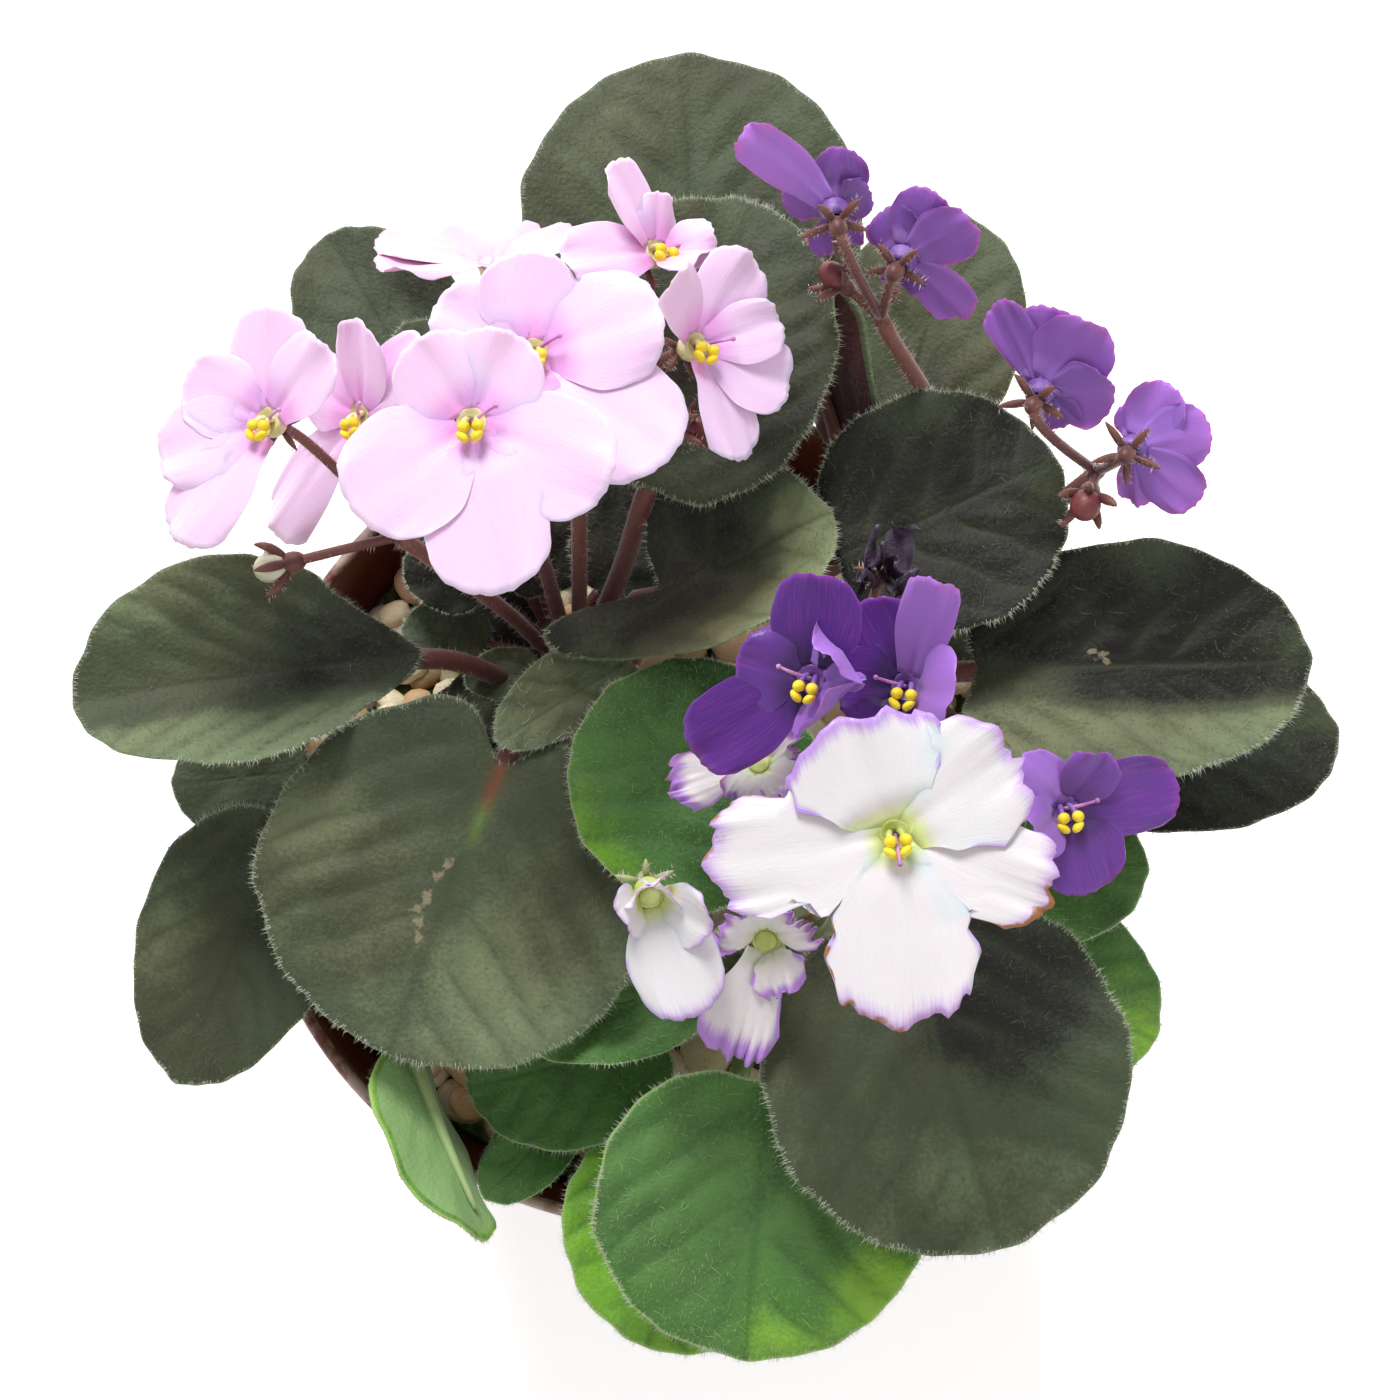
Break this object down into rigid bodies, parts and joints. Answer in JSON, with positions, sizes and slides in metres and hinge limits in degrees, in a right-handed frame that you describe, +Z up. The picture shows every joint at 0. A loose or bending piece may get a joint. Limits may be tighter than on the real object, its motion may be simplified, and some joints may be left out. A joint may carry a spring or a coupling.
{
  "type": "potted african violet",
  "caption": "Round plastic pot of african violets with rounded hairy leaves, branched flower stalks and pink, purple and white flowers, on soil topped with pale stones.",
  "frame": {"origin": "middle of the pot's flat base, on the surface that it stands on", "axes": "+Z up along the pot's axis, +X to the side of the purple plant, -Y towards the side of the white plant"},
  "size_m": [0.2024, 0.2137, 0.1914],
  "materials": {
    "pot_plastic": "satin",
    "soil": "matte",
    "gravel": "matte",
    "dark_leaf": "matte",
    "fresh_leaf": "matte",
    "stalk": "satin",
    "pale_stalk": "satin",
    "pink_petal": "matte",
    "purple_petal": "matte",
    "white_petal": "matte",
    "anther": "matte"
  },
  "bodies": {
    "root": {"bloom_pink_back": "pink_petal", "bloom_pink_back_right": "pink_petal", "bloom_pink_front": "pink_petal", "bloom_pink_left": "pink_petal", "bloom_pink_middle": "pink_petal", "bloom_pink_nodding": "pink_petal", "bloom_pink_right": "pink_petal", "bloom_purple_back_left": "purple_petal", "bloom_purple_back_right": "purple_petal", "bloom_purple_far_right": "purple_petal", "bloom_purple_left": "purple_petal", "bloom_purple_low": "purple_petal", "bloom_purple_middle": "purple_petal", "bloom_purple_outer_right": "purple_petal", "bloom_white_crumpled": "white_petal", "bloom_white_folded": "white_petal", "bloom_white_front": "white_petal", "bloom_white_low": "white_petal", "crown_pink": "dark_leaf", "crown_purple": "dark_leaf", "crown_white": "fresh_leaf", "gravel": "gravel", "growing_medium": "soil", "leaf_pink_back": "dark_leaf", "leaf_pink_back_left": "dark_leaf", "leaf_pink_curled": "dark_leaf", "leaf_pink_front": "dark_leaf", "leaf_pink_high": "dark_leaf", "leaf_pink_left": "dark_leaf", "leaf_pink_low_left": "dark_leaf", "leaf_purple_back": "dark_leaf", "leaf_purple_front": "dark_leaf", "leaf_purple_high": "dark_leaf", "leaf_purple_low_right": "dark_leaf", "leaf_purple_right": "dark_leaf", "leaf_purple_turned": "dark_leaf", "leaf_white_front": "fresh_leaf", "leaf_white_high": "fresh_leaf", "leaf_white_left": "fresh_leaf", "leaf_white_low_front": "fresh_leaf", "leaf_white_low_left": "fresh_leaf", "leaf_white_low_right": "fresh_leaf", "leaf_white_right": "fresh_leaf", "leaf_white_turned": "fresh_leaf", "pot": "pot_plastic", "spray_pink_left": "stalk", "spray_pink_middle": "stalk", "spray_pink_right": "stalk", "spray_purple_back": "stalk", "spray_purple_low": "stalk", "spray_purple_middle": "stalk", "spray_purple_right": "stalk", "spray_white_high": "pale_stalk", "spray_white_low": "pale_stalk", "stamens_pink_front": "anther", "stamens_pink_left": "anther", "stamens_pink_middle": "anther", "stamens_pink_right": "anther", "stamens_purple_left": "anther", "stamens_white_front": "anther"}
  },
  "joints": []
}
